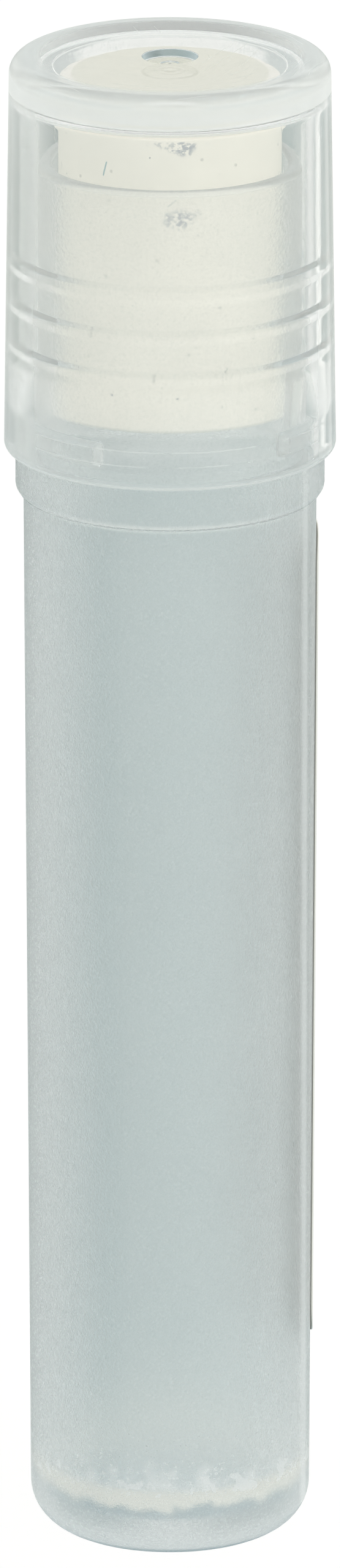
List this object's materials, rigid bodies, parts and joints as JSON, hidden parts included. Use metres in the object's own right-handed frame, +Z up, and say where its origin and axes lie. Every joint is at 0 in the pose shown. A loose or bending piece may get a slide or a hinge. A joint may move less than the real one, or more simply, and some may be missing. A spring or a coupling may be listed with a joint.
{
  "type": "test tube",
  "caption": "Flat-bottomed translucent plastic sample tube with a collared neck, a white plug in its mouth, a clear push-on cap and a blank label.",
  "frame": {"origin": "centre of the tube's flat bottom", "axes": "+Z up along the tube's axis towards the cap, -Y towards the front, +X to the right seen from the front"},
  "size_m": [0.0208, 0.0208, 0.0964],
  "materials": {
    "tube_plastic": "satin, translucent",
    "cap_plastic": "polished, clear with a slight haze",
    "plug_rubber": "matte",
    "label_paper": "matte"
  },
  "bodies": {
    "tube": {"tube_body": "tube_plastic", "label": "label_paper"},
    "plug": {"plug": "plug_rubber"},
    "cap": {"cap": "cap_plastic"}
  },
  "joints": [
    {"name": "plug_pull", "type": "slide", "parent": "tube", "child": "plug", "axis": [0, 0, 1], "range_m": [0, 0.018]},
    {"name": "cap_pull", "type": "slide", "parent": "plug", "child": "cap", "axis": [0, 0, 1], "range_m": [0, 0.025]}
  ]
}
